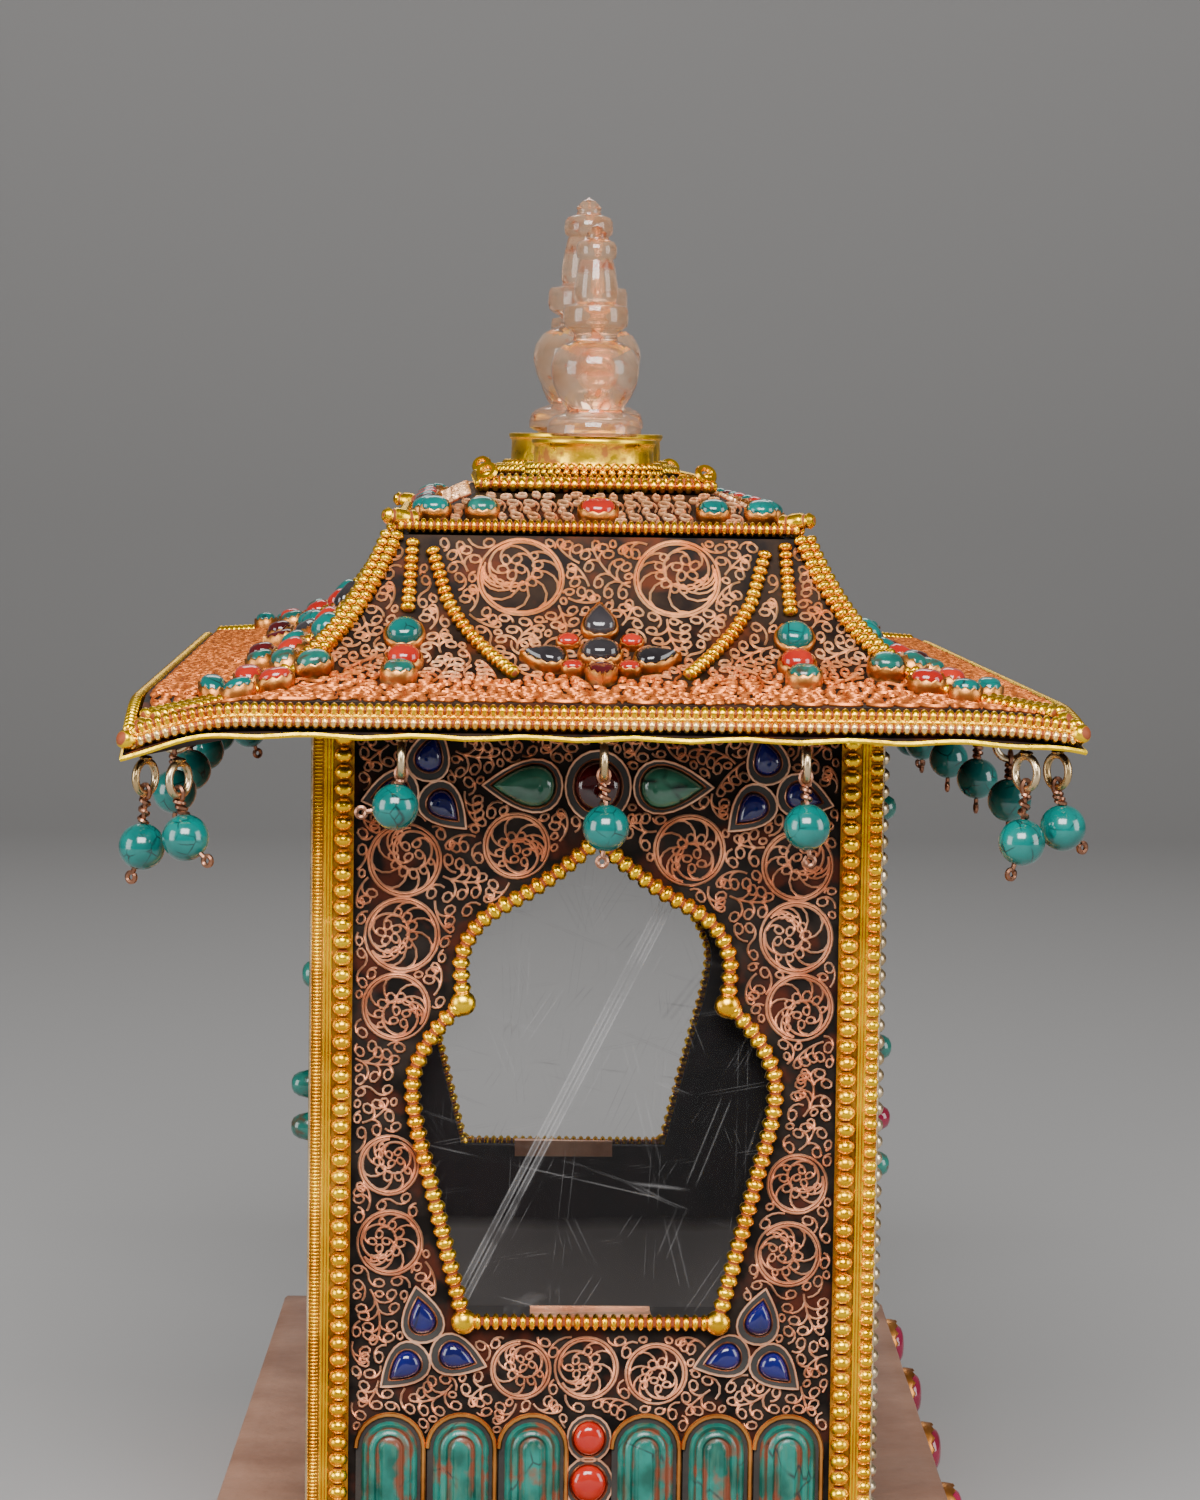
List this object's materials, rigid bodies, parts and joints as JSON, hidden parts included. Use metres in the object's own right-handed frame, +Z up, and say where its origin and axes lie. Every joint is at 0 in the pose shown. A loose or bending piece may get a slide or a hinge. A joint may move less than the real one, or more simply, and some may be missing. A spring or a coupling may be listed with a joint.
{
  "type": "buddhist altar box",
  "caption": "Small filigree shrine case with cusped glazed windows, a hipped roof hung with beads, crystal finials and a jewelled plinth.",
  "frame": {"origin": "on the ground under the middle of the eaves", "axes": "+Z up, +X across the narrow end towards the front with its large window, +Y along the case; the near narrow end faces -Y"},
  "size_m": [0.1036, 0.1556, 0.1684],
  "materials": {
    "filigree_copper": "rose copper wire filigree over dark sheet, with red pigment in the hollows",
    "plinth_copper": "dull brown copper with wire work",
    "gilt_beads": "yellow gilding on beaded wire, worn to silver in places",
    "gilt_plain": "plain gilt sheet, brushed and stained",
    "clear_pane": "clear scratched pane",
    "rock_crystal": "polished clear rock crystal with orange pigment in the cuts",
    "turquoise": "polished turquoise with dark veins",
    "dark_lining": "dark red brown paint, matt"
  },
  "bodies": {
    "root": {"plinth": "plinth_copper", "case_floor": "dark_lining", "lower_roof": "filigree_copper", "upper_roof": "filigree_copper", "eave_trim": "gilt_beads", "roof_frame": "gilt_beads", "ridge_frame": "gilt_beads", "near_end_panel": "filigree_copper", "near_end_petals": "turquoise", "far_end_panel": "filigree_copper", "far_end_petals": "turquoise", "front_panel": "filigree_copper", "front_petals": "turquoise", "back_panel": "filigree_copper", "back_petals": "turquoise", "near_end_window_frame": "gilt_beads", "near_end_pane": "clear_pane", "far_end_window_frame": "gilt_beads", "far_end_pane": "clear_pane", "front_window_frame": "gilt_beads", "front_pane": "clear_pane", "corner_post_far_front": "gilt_beads", "corner_post_far_back": "gilt_beads", "corner_post_near_back": "gilt_beads", "corner_post_near_front": "gilt_beads", "finial_collar_near": "gilt_plain", "finial_near": "rock_crystal", "finial_collar_middle": "gilt_plain", "finial_middle": "rock_crystal", "finial_collar_far": "gilt_plain", "finial_far": "rock_crystal", "pendant_near_1": "turquoise", "pendant_near_2": "turquoise", "pendant_near_3": "turquoise", "pendant_far_1": "turquoise", "pendant_far_2": "turquoise", "pendant_far_3": "turquoise", "pendant_front_1": "turquoise", "pendant_front_2": "turquoise", "pendant_front_3": "turquoise", "pendant_front_4": "turquoise", "pendant_back_1": "turquoise", "pendant_back_2": "turquoise", "pendant_back_3": "turquoise", "pendant_back_4": "turquoise", "pendant_pair_far_front": "turquoise", "pendant_pair_far_back": "turquoise", "pendant_pair_near_back": "turquoise", "pendant_pair_near_front": "turquoise"}
  },
  "joints": []
}
